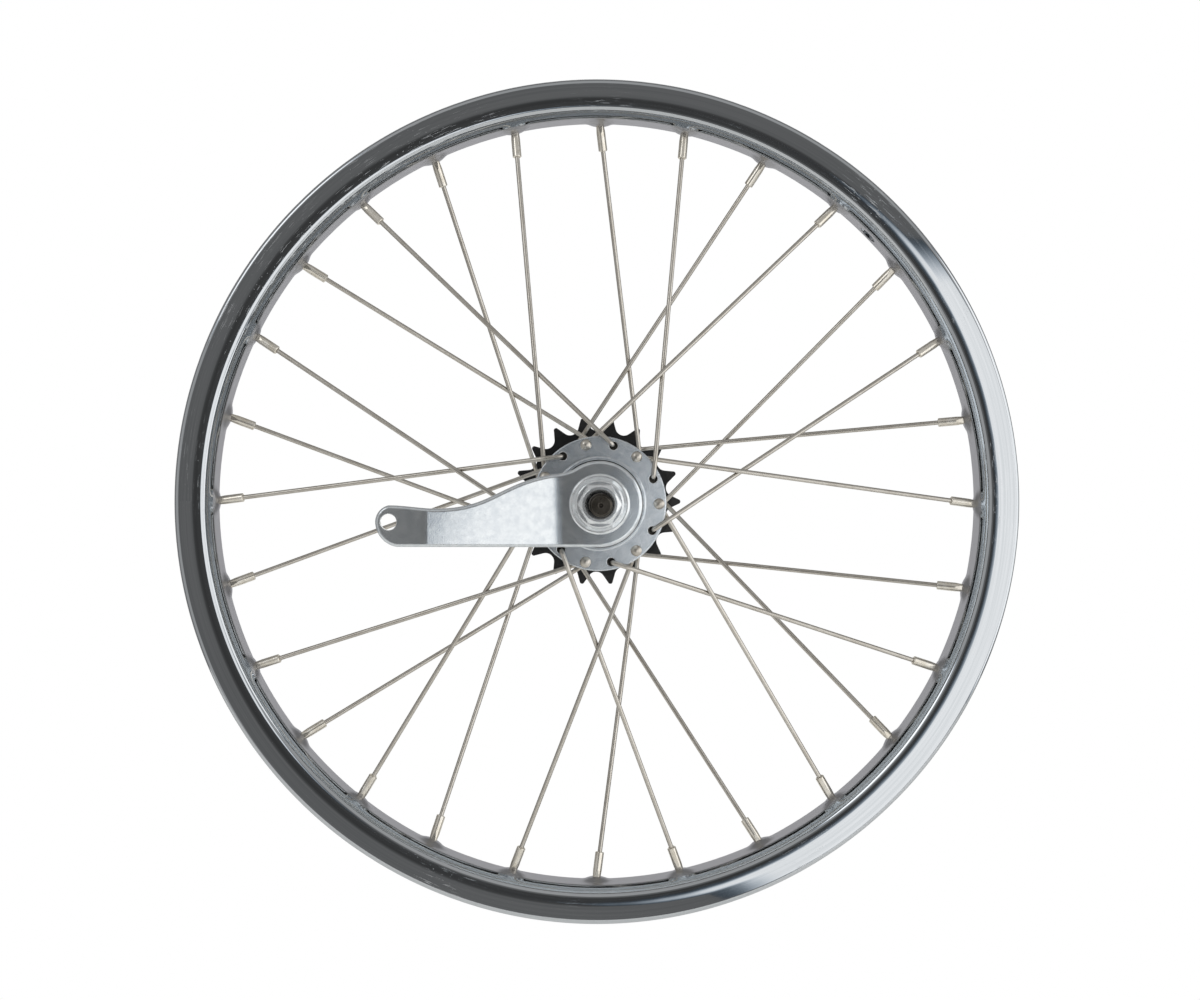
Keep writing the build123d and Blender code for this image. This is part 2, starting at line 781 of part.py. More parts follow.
# Driver: screw for the clutch, race for the large balls, seat for the sprocket, cup for the cone
driver_floor_y = cone_ball_y - cone_race_r - race_relief
with BuildPart() as driver:
    with BuildSketch(Plane.XY):
        with BuildLine():
            neck_r = ball_circle_r - race_r - race_relief
            mouth_r = cone_ball_circle_r + cone_race_r + race_relief
            shoulder_y = clutch_end_y + driver_shoulder_gap
            Polyline(
                (driver_bore_r, driver_floor_y),
                (driver_bore_r, screw_start),
                (screw_r, screw_start),
                (screw_r, shoulder_y),
                (neck_r, shoulder_y),
                (neck_r, right_ball_y),
                (ball_circle_r - race_r, right_ball_y),
            )
            CenterArc((ball_circle_r, right_ball_y), race_r, 90, 90)
            Polyline(
                (ball_circle_r, right_ball_y + race_r),
                (ball_circle_r, right_ball_y + race_r + race_relief),
                (sprocket_seat_r, right_ball_y + race_r + race_relief),
                (sprocket_seat_r, sprocket_out_y),
                (sprocket_seat_r - snap_ring_depth, sprocket_out_y),
                (sprocket_seat_r - snap_ring_depth, snap_groove_end_y),
                (sprocket_seat_r, snap_groove_end_y),
                (sprocket_seat_r, driver_end_y),
                (mouth_r, driver_end_y),
                (mouth_r, cone_ball_y),
                (cone_ball_circle_r + cone_race_r, cone_ball_y),
            )
            CenterArc((cone_ball_circle_r, cone_ball_y), cone_race_r, -90, 90)
            Polyline(
                (cone_ball_circle_r, cone_ball_y - cone_race_r),
                (cone_ball_circle_r, driver_floor_y),
                (driver_bore_r, driver_floor_y),
            )
        make_face()
    revolve(axis=Axis.Y)
    with BuildSketch(across(driver_end_y)):
        with PolarLocations(sprocket_seat_r, lug_count, start_angle=90):
            Rectangle(2 * (lug_depth + lug_gap), lug_w + 2 * lug_gap)
    extrude(amount=driver_end_y - sprocket_in_y + lug_gap, mode=Mode.SUBTRACT)
save(driver.part, "driver")

# Sprocket: toothed plate with inner lugs, its teeth bevelled towards their tips
pitch_r = chain_pitch / 2 / sin(radians(180 / sprocket_teeth))
flank = radians(tooth_flank_angle)
flank_x = sprocket_tip_r - pitch_r + roller_seat_r
flank_y = roller_seat_r * cos(flank) + (flank_x + roller_seat_r * sin(flank)) * tan(flank)
with BuildPart() as sprocket:
    with BuildSketch(across(sprocket_y)) as plate:
        Circle(sprocket_tip_r)
        with PolarLocations(pitch_r, sprocket_teeth, start_angle=180 / sprocket_teeth):
            Circle(roller_seat_r, mode=Mode.SUBTRACT)
            Polygon(
                (-roller_seat_r * sin(flank), roller_seat_r * cos(flank)),
                (-roller_seat_r * sin(flank), -roller_seat_r * cos(flank)),
                (flank_x, -flank_y),
                (flank_x, flank_y),
                align=None,
                mode=Mode.SUBTRACT,
            )
        tips = plate.vertices().filter_by(lambda point: hypot(point.X, point.Y) > sprocket_tip_r - 0.01)
        fillet(tips, tooth_tip_r)
        Circle(sprocket_seat_r + sprocket_fit, mode=Mode.SUBTRACT)
        with PolarLocations(sprocket_seat_r, lug_count, start_angle=90):
            Rectangle(2 * lug_depth, lug_w)
    extrude(amount=sprocket_t / 2, both=True)
    with BuildSketch(Plane.XY):
        with BuildLine():
            Polyline(
                (0, sprocket_in_y),
                (sprocket_bevel_r, sprocket_in_y),
                (sprocket_tip_r, sprocket_y - sprocket_bevel_t / 2),
                (sprocket_tip_r, sprocket_y + sprocket_bevel_t / 2),
                (sprocket_bevel_r, sprocket_out_y),
                (0, sprocket_out_y),
                close=True,
            )
        make_face()
    revolve(axis=Axis.Y, mode=Mode.INTERSECT)
save(sprocket.part, "sprocket")

# Snap ring: open ring in the driver's groove that holds the sprocket on
with BuildPart() as snap_ring:
    with BuildSketch(Plane.XY):
        ring_in_r = sprocket_seat_r - snap_ring_depth + snap_ring_gap
        ring_out_r = sprocket_seat_r + snap_ring_stand
        with Locations(((ring_in_r + ring_out_r) / 2, (sprocket_out_y + snap_groove_end_y) / 2)):
            Rectangle(ring_out_r - ring_in_r, snap_ring_t)
    revolve(axis=Axis.Y, revolution_arc=snap_ring_arc)
save(snap_ring.part, "snap_ring")

# Right dust cap: pressed cup on the driver, its skirt over the shell's collar
with BuildPart() as right_dust_cap:
    with BuildSketch(Plane.XY):
        with BuildLine():
            skirt_r = collar_out_r + cap_gap
            Polyline(
                (sprocket_seat_r + sprocket_fit, right_end_y + cap_gap),
                (skirt_r, right_end_y + cap_gap),
                (skirt_r, right_end_y - cap_skirt),
                (skirt_r + cap_sheet, right_end_y - cap_skirt),
                (skirt_r + cap_sheet, right_end_y + cap_gap + cap_sheet),
                (sprocket_seat_r + sprocket_fit, right_end_y + cap_gap + cap_sheet),
                close=True,
            )
        make_face()
    revolve(axis=Axis.Y)
    fillet(rings(right_dust_cap, skirt_r + cap_sheet, right_end_y + cap_gap + cap_sheet), cap_sheet)
save(right_dust_cap.part, "right_dust_cap")

# Right cone: adjustable race on the axle with two spanner flats
with BuildPart() as right_cone:
    with BuildSketch(Plane.XY):
        with BuildLine():
            neck_r = cone_ball_circle_r - cone_race_r - race_relief
            back_y = cone_ball_y + cone_race_r + race_relief
            Polyline(
                (cone_ball_circle_r, cone_ball_y + cone_race_r),
                (cone_ball_circle_r, back_y),
                (right_cone_r, back_y),
                (right_cone_r, lock_washer_y),
                (axle_bore_r, lock_washer_y),
                (axle_bore_r, driver_floor_y + driver_shoulder_gap),
                (neck_r, driver_floor_y + driver_shoulder_gap),
                (neck_r, cone_ball_y),
                (cone_ball_circle_r - cone_race_r, cone_ball_y),
            )
            CenterArc((cone_ball_circle_r, cone_ball_y), cone_race_r, 90, 90)
        make_face()
    revolve(axis=Axis.Y)
    with BuildSketch(across(lock_washer_y)):
        Circle(2 * right_cone_r)
        Rectangle(4 * right_cone_r, right_cone_af, mode=Mode.SUBTRACT)
    extrude(amount=right_cone_flats, mode=Mode.SUBTRACT)
save(right_cone.part, "right_cone")

# Lock washer and lock nut on the sprocket side
with BuildPart() as lock_washer:
    with BuildSketch(across(lock_washer_y)):
        Circle(lock_washer_r)
        Circle(axle_bore_r, mode=Mode.SUBTRACT)
    extrude(amount=-lock_washer_t)
save(lock_washer.part, "lock_washer")
with BuildPart() as right_lock_nut:
    right_face_y = over_locknuts / 2
    add(hexagon(right_nut_af, right_nut_y, right_face_y))
    with BuildSketch(Plane.XY):
        with BuildLine():
            Polyline(
                (0, right_nut_y),
                (axle_bore_r, right_nut_y),
                (axle_bore_r, right_face_y + axle_bore_r - right_nut_countersink_r),
                (right_nut_countersink_r, right_face_y),
                (0, right_face_y),
                close=True,
            )
        make_face()
    revolve(axis=Axis.Y, mode=Mode.SUBTRACT)
save(right_lock_nut.part, "right_lock_nut")
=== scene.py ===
import json
import math

import bmesh
import bpy
from mathutils import Matrix, Vector


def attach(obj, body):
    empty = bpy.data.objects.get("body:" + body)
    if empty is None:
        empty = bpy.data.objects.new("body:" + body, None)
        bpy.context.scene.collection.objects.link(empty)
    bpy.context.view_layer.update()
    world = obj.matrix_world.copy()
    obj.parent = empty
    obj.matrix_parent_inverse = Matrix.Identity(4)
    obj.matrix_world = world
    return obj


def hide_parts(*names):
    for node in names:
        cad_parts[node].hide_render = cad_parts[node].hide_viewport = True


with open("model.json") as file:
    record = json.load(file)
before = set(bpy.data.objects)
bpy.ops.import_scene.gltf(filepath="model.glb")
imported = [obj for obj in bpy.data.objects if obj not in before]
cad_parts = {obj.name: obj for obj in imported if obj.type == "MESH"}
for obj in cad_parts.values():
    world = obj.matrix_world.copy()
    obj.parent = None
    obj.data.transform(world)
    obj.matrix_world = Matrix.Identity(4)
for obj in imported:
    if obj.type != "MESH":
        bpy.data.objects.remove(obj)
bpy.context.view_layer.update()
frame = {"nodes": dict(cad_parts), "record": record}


def fromHex(code):
    # sRGB hex to the linear colour that shaders use
    parts = [int(code[i:i + 2], 16) / 255 for i in (1, 3, 5)]
    linear = [c / 12.92 if c <= 0.04045 else ((c + 0.055) / 1.055) ** 2.4 for c in parts]
    return (*linear, 1.0)


def addNode(tree, kind, settings=None, links=None):
    # settings go to the node's own options first, else to its sockets
    node = tree.nodes.new(kind)
    for key, value in (settings or {}).items():
        if isinstance(key, str) and hasattr(node, key):
            setattr(node, key, value)
        else:
            node.inputs[key].default_value = value
    for key, source in (links or {}).items():
        tree.links.new(source, node.inputs[key])
    return node


def newMaterial(name):
    material = bpy.data.materials.new(name)
    material.use_nodes = True
    tree = material.node_tree
    tree.nodes.clear()
    shader = addNode(tree, "ShaderNodeBsdfPrincipled")
    addNode(tree, "ShaderNodeOutputMaterial", links={"Surface": shader.outputs[0]})
    return material, tree, shader


def objectPlace(tree):
    return addNode(tree, "ShaderNodeTexCoord").outputs["Object"]


def rampOf(tree, value, stops):
    # a colour ramp with its stops as (position, colour) pairs
    ramp = addNode(tree, "ShaderNodeValToRGB", links={0: value})
    while len(ramp.color_ramp.elements) < len(stops):
        ramp.color_ramp.elements.new(0.5)
    for element, (position, colour) in zip(ramp.color_ramp.elements, stops):
        element.position = position
        element.color = colour if isinstance(colour, tuple) else (colour, colour, colour, 1.0)
    return ramp.outputs["Color"]


def rangeOf(tree, value, old, new, kind="LINEAR"):
    # maps one span of values to another
    settings = {"interpolation_type": kind, "From Min": old[0], "From Max": old[1], "To Min": new[0], "To Max": new[1]}
    return addNode(tree, "ShaderNodeMapRange", settings, {"Value": value}).outputs[0]


def noiseOf(tree, place, size, detail):
    # noise with blots of about the given size
    noise = addNode(tree, "ShaderNodeTexNoise", {"Scale": 1 / size, "Detail": detail}, {"Vector": place})
    return noise.outputs["Fac"]


def dotsOf(tree, place, size, stops):
    # round dots, one to a cell of the given size
    cells = addNode(tree, "ShaderNodeTexVoronoi", {"Scale": 1 / size}, {"Vector": place})
    return rampOf(tree, cells.outputs["Distance"], stops)


def mathOf(tree, operation, first, second):
    return addNode(tree, "ShaderNodeMath", {"operation": operation}, {0: first, 1: second}).outputs[0]


def mixOf(tree, share, base, over):
    # a hex colour laid over a colour by a share
    mix = addNode(tree, "ShaderNodeMix", {"data_type": "RGBA", 7: fromHex(over)}, {0: share, 6: base})
    return mix.outputs[2]


def blendOf(tree, share, base, over):
    # the same for plain values
    mix = addNode(tree, "ShaderNodeMix", {"data_type": "FLOAT", 3: over}, {0: share, 2: base})
    return mix.outputs[0]


def feed(tree, shader, metallic, links):
    shader.inputs["Metallic"].default_value = metallic
    for name, source in links.items():
        tree.links.new(source, shader.inputs[name])


noiseSpan = (0.3, 0.7)    # where most of a noise's values lie


def grainRoughness(tree, grain, look):
    low, high = look["roughness"] - look["spread"], look["roughness"] + look["spread"]
    return rangeOf(tree, grain, noiseSpan, (low, high))


def aroundAxle(tree):
    # arc length at the rim, radius and depth, so that patterns can follow the wheel's turning
    rimRadius = 0.18
    place = objectPlace(tree)
    split = addNode(tree, "ShaderNodeSeparateXYZ", links={0: place})
    angle = mathOf(tree, "ARCTAN2", split.outputs["Z"], split.outputs["X"])
    arc = addNode(tree, "ShaderNodeMath", {"operation": "MULTIPLY", 1: rimRadius}, {0: angle})
    flat = addNode(tree, "ShaderNodeCombineXYZ", links={"X": split.outputs["X"], "Y": split.outputs["Z"]})
    radius = addNode(tree, "ShaderNodeVectorMath", {"operation": "LENGTH"}, {0: flat.outputs[0]})
    turned = addNode(tree, "ShaderNodeCombineXYZ",
                     links={"X": arc.outputs[0], "Y": radius.outputs["Value"], "Z": split.outputs["Y"]})
    return place, turned.outputs[0], radius.outputs["Value"]


def paintedCornerShade(tree, colour):
    # painted shade: ambient occlusion darkens the colour to near black in holes, narrow gaps and at contact lines,
    # where shade falls
    look = {"colour": "#141312", "reach": 0.004, "share": 0.95, "open": 0.5, "shut": 0.25, "samples": 8}
    corner = addNode(tree, "ShaderNodeAmbientOcclusion", {"samples": look["samples"], "Distance": look["reach"]})
    share = rangeOf(tree, corner.outputs["AO"], (look["shut"], look["open"]), (look["share"], 0.0))
    return mixOf(tree, share, colour, look["colour"])


# chromed steel: a rolled strip, buffed round the wheel and plated, so it mirrors the studio;
# handling leaves specks and short scuffs, and the buff doesn't reach the well, which stays duller
def chromedSteel():
    look = {
        "bright": "#d2d5d8", "streak": "#c6cacd", "dull": "#b8b8ba", "speck": "#e4e6e8",
        "edge": "#ffffff", "dullEdge": "#cdcdd0",     # at a shallow angle
        "roughness": (0.0252, 0.063), "dullRoughness": 0.36, "speckRoughness": 0.5,
        "wellEdge": 0.1690, "wellFade": 0.0005,       # metres from the axle
        # buffing lines are about 0.1 mm wide, drawn coarser so that they show
        "lineLength": 0.14, "lineWidth": 0.0009, "lineShares": (0.36, 0.62), "lineRelief": 0.008, "lineDepth": 0.0001,
        "lineDetail": {"Scale": 1.0, "Detail": 3.0, "Roughness": 0.6},
        "speckSize": 0.0022, "speckStops": ((0.07, 1.0), (0.16, 0.0)),
        "scuffSize": (0.007, 0.0005, 0.002), "scuffLean": (0.0, 0.0, 0.9), "scuffStops": ((0.60, 0.0), (0.71, 1.0)),
        "patch": 0.05, "patchStops": ((0.50, 0.0), (0.72, 0.6)),
        # where a stand has rubbed the wall
        "rubbed": (-0.150, -0.013, 0.095), "rubReach": (0.02, 0.12), "rubShare": 0.24,
        "ripple": 0.024, "rippleRelief": 0.05, "rippleDepth": 0.001,
    }
    material, tree, shader = newMaterial("chromedSteel")
    place, turned, radius = aroundAxle(tree)
    lineScale = [1 / look[key] for key in ("lineLength", "lineWidth", "lineWidth")]
    lineSpace = addNode(tree, "ShaderNodeMapping", {"Scale": lineScale}, {"Vector": turned})
    lines = addNode(tree, "ShaderNodeTexNoise", look["lineDetail"], {"Vector": lineSpace.outputs[0]}).outputs["Fac"]
    dots = dotsOf(tree, place, look["speckSize"], look["speckStops"])
    scuffScale = [1 / size for size in look["scuffSize"]]
    scuffSpace = addNode(tree, "ShaderNodeMapping", {"Rotation": look["scuffLean"], "Scale": scuffScale},
                         {"Vector": turned})
    scuffs = rampOf(tree, noiseOf(tree, scuffSpace.outputs[0], 1.0, 1.0), look["scuffStops"])
    fromRub = addNode(tree, "ShaderNodeVectorMath", {"operation": "DISTANCE", 1: look["rubbed"]}, {0: place})
    rub = rangeOf(tree, fromRub.outputs["Value"], look["rubReach"], (look["rubShare"], 0.0))
    handled = mathOf(tree, "ADD", noiseOf(tree, place, look["patch"], 4.0), rub)
    where = rampOf(tree, handled, look["patchStops"])
    worn = mathOf(tree, "MULTIPLY", mathOf(tree, "MAXIMUM", dots, scuffs), where)
    well = rangeOf(tree, radius, (look["wellEdge"] - look["wellFade"], look["wellEdge"]), (1.0, 0.0), "SMOOTHSTEP")
    streaks = rampOf(tree, lines, list(zip(look["lineShares"], (fromHex(look["streak"]), fromHex(look["bright"])))))
    colour = mixOf(tree, worn, mixOf(tree, well, streaks, look["dull"]), look["speck"])
    rough = blendOf(tree, well, rangeOf(tree, lines, noiseSpan, look["roughness"]), look["dullRoughness"])
    edgeTint = addNode(tree, "ShaderNodeMix",
                       {"data_type": "RGBA", 6: fromHex(look["edge"]), 7: fromHex(look["dullEdge"])}, {0: well})
    rolled = addNode(tree, "ShaderNodeBump", {"Strength": look["rippleRelief"], "Distance": look["rippleDepth"]},
                     {"Height": noiseOf(tree, place, look["ripple"], 1.0)})
    lined = addNode(tree, "ShaderNodeBump", {"Strength": look["lineRelief"], "Distance": look["lineDepth"]},
                    {"Height": lines, "Normal": rolled.outputs[0]})
    # the base colour carries painted shade: near black in holes and gaps and round the nipples' bases
    feed(tree, shader, 1.0, {
        "Base Color": paintedCornerShade(tree, colour), "Specular Tint": edgeTint.outputs[2],
        "Roughness": blendOf(tree, worn, rough, look["speckRoughness"]), "Normal": lined.outputs[0],
    })
    return material


# metal that was pressed or turned, then plated in a barrel: a fine grain, cloudy gloss and bright worn edges
def barrelPlated(name, look):
    stops = {
        "pit": ((0.10, 1.0), (0.22, 0.0)), "edge": ((0.90, 1.0), (0.99, 0.0)),
        "cloud": ((0.35, fromHex(look["dark"])), (0.65, fromHex(look["light"]))),
    }
    edgeSamples = 6
    material, tree, shader = newMaterial(name)
    place = objectPlace(tree)
    grain = noiseOf(tree, place, look["grain"], 2.0)
    dots = dotsOf(tree, place, look["pit"], stops["pit"])
    bevel = addNode(tree, "ShaderNodeBevel", {"samples": edgeSamples, "Radius": look["edge"]}).outputs[0]
    facing = addNode(tree, "ShaderNodeNewGeometry").outputs["Normal"]
    agree = addNode(tree, "ShaderNodeVectorMath", {"operation": "DOT_PRODUCT"}, {0: bevel, 1: facing})
    edges = rampOf(tree, agree.outputs["Value"], stops["edge"])
    cloudy = rampOf(tree, noiseOf(tree, place, look["cloud"], 4.0), stops["cloud"])
    pits = addNode(tree, "ShaderNodeMath", {"operation": "MULTIPLY", 1: look["pitShare"]}, {0: dots})
    pitted = mixOf(tree, pits.outputs[0], cloudy, look["pitColour"])
    bump = addNode(tree, "ShaderNodeBump", {"Strength": look["relief"], "Distance": look["grain"] / 4},
                   {"Height": grain, "Normal": bevel})
    # the base colour carries painted shade, darkened in holes and narrow gaps
    feed(tree, shader, look["metallic"], {
        "Base Color": paintedCornerShade(tree, mixOf(tree, edges, pitted, look["worn"])),
        "Roughness": grainRoughness(tree, grain, look), "Normal": bump.outputs[0],
    })
    return material


# bright zinc plate on pressed sheet: blue passivated, a cold blue-grey with fine speckle
zincLook = {
    "light": "#e8ecee", "dark": "#d9dee2", "worn": "#f0f2f3", "pitColour": "#f2f4f6", "pitShare": 0.35,
    "metallic": 0.84, "roughness": 0.10, "spread": 0.03, "grain": 0.0005, "cloud": 0.003, "pit": 0.0016,
    "edge": 0.0005, "relief": 0.06,
}
# the same plate on the deep-drawn shell: the drawing leaves it more matt
shellLook = {**zincLook, "light": "#dde2e6", "dark": "#ccd3d9", "metallic": 0.82, "roughness": 0.19}
# the same plate on turned nuts: the tool's rings scatter the light, so they look paler
turnedLook = {
    **zincLook, "light": "#f2f4f5", "dark": "#e2e6e8", "metallic": 0.76, "roughness": 0.12, "edge": 0.0006,
}
# nickel plate over brass: warm and bright, the brass shows through where keys have rubbed
nickelLook = {
    "light": "#efeae0", "dark": "#e0d9cb", "worn": "#f4eddc", "pitColour": "#a89878", "pitShare": 0.2,
    "metallic": 0.85, "roughness": 0.17, "spread": 0.03, "grain": 0.0005, "cloud": 0.0035, "pit": 0.0014,
    "edge": 0.0003, "relief": 0.02,
}
# black oxide on a stamped plate: satin black, grey where the chain and the press have rubbed
oxideLook = {
    "light": "#1d1d1e", "dark": "#111112", "worn": "#39393a", "pitColour": "#2c2c2d", "pitShare": 0.4,
    "metallic": 0.2, "roughness": 0.46, "spread": 0.08, "grain": 0.0006, "cloud": 0.009, "pit": 0.0016,
    "edge": 0.0004, "relief": 0.10,
}
# oiled dark steel: brown-black, turned and threaded
oiledLook = {
    "light": "#54504a", "dark": "#37342f", "worn": "#8f8a82", "pitColour": "#6a5c4a", "pitShare": 0.4,
    "metallic": 1.0, "roughness": 0.34, "spread": 0.08, "grain": 0.0006, "cloud": 0.006, "pit": 0.0012,
    "edge": 0.0003, "relief": 0.10,
}
# hardened and ground steel: even cool grey with a fine grain
groundLook = {
    "light": "#b4b5b7", "dark": "#98999c", "worn": "#d2d3d5", "pitColour": "#7b7b7d", "pitShare": 0.2,
    "metallic": 1.0, "roughness": 0.24, "spread": 0.08, "grain": 0.0006, "cloud": 0.008, "pit": 0.0018,
    "edge": 0.0003, "relief": 0.08,
}
# polished ball steel: near mirror
ballLook = {
    "light": "#cfd0d2", "dark": "#c2c3c6", "worn": "#dcdddf", "pitColour": "#a9aaad", "pitShare": 0.1,
    "metallic": 1.0, "roughness": 0.07, "spread": 0.02, "grain": 0.0008, "cloud": 0.004, "pit": 0.002,
    "edge": 0.0002, "relief": 0.02,
}
# pressed sheet steel: dull grey with a tumbled grain
sheetLook = {
    "light": "#9b9894", "dark": "#7f7c78", "worn": "#bdbab5", "pitColour": "#66625d", "pitShare": 0.3,
    "metallic": 1.0, "roughness": 0.38, "spread": 0.08, "grain": 0.0006, "cloud": 0.005, "pit": 0.0016,
    "edge": 0.0003, "relief": 0.10,
}
# turned bronze: golden brown, cloudy from oil
bronzeLook = {
    "light": "#b98f5c", "dark": "#8f6a3d", "worn": "#d9b47f", "pitColour": "#6b4d2a", "pitShare": 0.3,
    "metallic": 1.0, "roughness": 0.32, "spread": 0.08, "grain": 0.0006, "cloud": 0.006, "pit": 0.0016,
    "edge": 0.0003, "relief": 0.10,
}


# drawn steel wire: pulled through a die, which leaves a satin surface of a warm, slightly stained grey
def drawnWire():
    look = {
        "light": "#d4cfc6", "dark": "#c8c2b8", "shares": (0.35, 0.6), "stain": 0.007,
        "roughness": 0.29, "spread": 0.02,
        "grain": 0.0006, "relief": 0.01, "depth": 0.0001,    # really finer than 0.05 mm, drawn coarser so that it shows
    }
    material, tree, shader = newMaterial("drawnWire")
    place = objectPlace(tree)
    grain = noiseOf(tree, place, look["grain"], 2.0)
    greys = list(zip(look["shares"], (fromHex(look["dark"]), fromHex(look["light"]))))
    stained = rampOf(tree, noiseOf(tree, place, look["stain"], 3.0), greys)
    bump = addNode(tree, "ShaderNodeBump", {"Strength": look["relief"], "Distance": look["depth"]}, {"Height": grain})
    # the base colour carries painted shade where the wires come close to the flange, to each other and to the nipples
    feed(tree, shader, 1.0, {
        "Base Color": paintedCornerShade(tree, stained), "Roughness": grainRoughness(tree, grain, look), "Normal": bump.outputs[0],
    })
    return material


finishes = {
    "chromed_steel": chromedSteel(),
    "nickel_plate": barrelPlated("nickelPlate", nickelLook),
    "zinc_plate": barrelPlated("zincPlate", zincLook),
    "spoke_steel": drawnWire(),
    "dark_steel": barrelPlated("oiledSteel", oiledLook),
    "black_steel": barrelPlated("blackOxide", oxideLook),
    "ground_steel": barrelPlated("groundSteel", groundLook),
    "ball_steel": barrelPlated("ballSteel", ballLook),
    "cage_steel": barrelPlated("sheetSteel", sheetLook),
    "shoe_bronze": barrelPlated("turnedBronze", bronzeLook),
}
zincShell = barrelPlated("zincPlateDrawn", shellLook)
zincTurned = barrelPlated("zincPlateTurned", turnedLook)
ownFinish = {
    "hub_shell": zincShell, "left_lock_nut": zincTurned, "right_lock_nut": zincTurned, "lock_washer": zincTurned,
}
for entry in frame["record"]["subparts"]:
    part = frame["nodes"][entry["node"]]
    part.data.materials.clear()
    part.data.materials.append(ownFinish.get(entry["node"], finishes[entry["material_slot"]]))
print("materials:", len({*finishes.values(), *ownFinish.values()}))


def addObject(name, data):
    thing = bpy.data.objects.new(name, data)
    bpy.context.scene.collection.objects.link(thing)
    return thing


def addPiece(name, points, faces, node, body, slot):
    # a smooth mesh that stands in for one CAD node
    creaseAngle = math.radians(28)
    mesh = bpy.data.meshes.new(name)
    mesh.from_pydata(points, [], faces)
    mesh.polygons.foreach_set("use_smooth", [True] * len(mesh.polygons))
    mesh.set_sharp_from_angle(angle=creaseAngle)
    mesh.materials.append(finishes[slot])
    piece = addObject(name, mesh)
    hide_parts(node)
    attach(piece, body)
    return piece


def turnRound(section, angles, bulge):
    # a closed section of (radius, depth) points swept about the axle; bulge moves a point inwards
    points, faces = [], []
    count = len(section)
    for angle in angles:
        for radius, depth in section:
            inner = radius - bulge(angle, radius, depth)
            points.append((inner * math.cos(angle), depth, inner * math.sin(angle)))
    for i in range(len(angles)):
        near, far = i * count, (i + 1) % len(angles) * count
        for j in range(count):
            k = (j + 1) % count
            faces.append((near + j, near + k, far + k, far + j))
    return points, faces


# rim: a rolled strip with beaded edges and a pressed flare at each nipple
rimLook = {
    "outerR": 0.185, "halfWidth": 0.013, "sheet": 0.0012,
    "beadR": 0.0020, "beadSteps": 22, "beadLand": 0.0004,    # the land keeps the wall's shading flat up to the bead
    # each corner's depth from the edge and distance from the middle
    "corners": ((0.0082, 0.0130), (0.01275, 0.0122), (0.0151, 0.0097), (0.0165, 0.00725)),
    "turns": (0.016, 0.0042, 0.008, 0.0015), "steps": (6, 12, 6, 6), "wellSteps": 12,
    "holes": 28, "stagger": 0.002,
    # places along the strip to either side of a hole, in metres
    "places": (0.0009, 0.0019, 0.0029, 0.0039, 0.0050, 0.0062, 0.0074, 0.0088, 0.0120, 0.016),
    "flareR": 0.0084, "flareTop": 0.0014, "flareHeight": 0.0019,
    "valveR": 0.00425, "valveAngle": 45.0, "valveSides": 48, "drillLength": 0.008,
}


def stripPath():
    # the strip's hub side from bead to bead, as points with their outward normals
    edge = (rimLook["outerR"] - rimLook["beadR"], -rimLook["corners"][0][1])
    half = [(rimLook["outerR"] - depth, -y) for depth, y in rimLook["corners"]]
    corners = [edge, *half, *[(r, -y) for r, y in reversed(half)], (edge[0], -edge[1])]
    turns = [*rimLook["turns"], *reversed(rimLook["turns"])]
    steps = [*rimLook["steps"], *reversed(rimLook["steps"])]
    land = edge[0] - rimLook["beadLand"]
    path = [(edge, (0.0, -1.0)), ((land, edge[1]), (0.0, -1.0))]
    for i, (turn, count) in enumerate(zip(turns, steps)):
        before, corner, after = corners[i:i + 3]
        into = math.atan2(corner[1] - before[1], corner[0] - before[0])
        out = math.atan2(after[1] - corner[1], after[0] - corner[0])
        run = turn * math.tan(abs(out - into) / 2)
        start = (corner[0] - run * math.cos(into), corner[1] - run * math.sin(into))
        centre = (start[0] + turn * math.sin(into), start[1] - turn * math.cos(into))
        if i == len(half):
            # the well's floor, between the two middle corners
            last, first = path[-1][0][1], start[1]
            for k in range(1, rimLook["wellSteps"]):
                path.append(((start[0], last + (first - last) * k / rimLook["wellSteps"]), (-1.0, 0.0)))
        for k in range(count + 1):
            way = into + (out - into) * k / count
            normal = (-math.sin(way), math.cos(way))
            path.append(((centre[0] + turn * normal[0], centre[1] + turn * normal[1]), normal))
    path += [((land, -edge[1]), (0.0, 1.0)), ((edge[0], -edge[1]), (0.0, 1.0))]
    return path


def beadArc(side):
    # the bead from the strip's hub side over its crest to the strip's tyre side
    r, y = rimLook["outerR"] - rimLook["beadR"], rimLook["halfWidth"] - rimLook["beadR"]
    start = math.pi * 1.5
    end = math.pi * 3 + math.asin((rimLook["beadR"] - rimLook["sheet"]) / rimLook["beadR"])
    arc = []
    for k in range(1, rimLook["beadSteps"]):
        angle = start + (end - start) * k / rimLook["beadSteps"]
        arc.append((r + rimLook["beadR"] * math.cos(angle), side * (y - rimLook["beadR"] * math.sin(angle))))
    return arc


def flareAt(angle, radius, depth):
    # height of the pressed flare at a place on the strip
    step = 2 * math.pi / rimLook["holes"]
    hole = round(angle / step)
    stagger = -rimLook["stagger"] if hole % 2 == 0 else rimLook["stagger"]
    away = math.hypot((angle - hole * step) * radius, depth - stagger)
    ridge, bend = [rimLook["outerR"] - inset for inset, _ in rimLook["corners"][1:3]]
    down = min(1.0, max(0.0, (ridge - radius) / (ridge - bend)))
    out = min(1.0, max(0.0, (away - rimLook["flareTop"]) / (rimLook["flareR"] - rimLook["flareTop"])))
    return rimLook["flareHeight"] * down ** 2 * (1 + math.cos(math.pi * out)) / 2


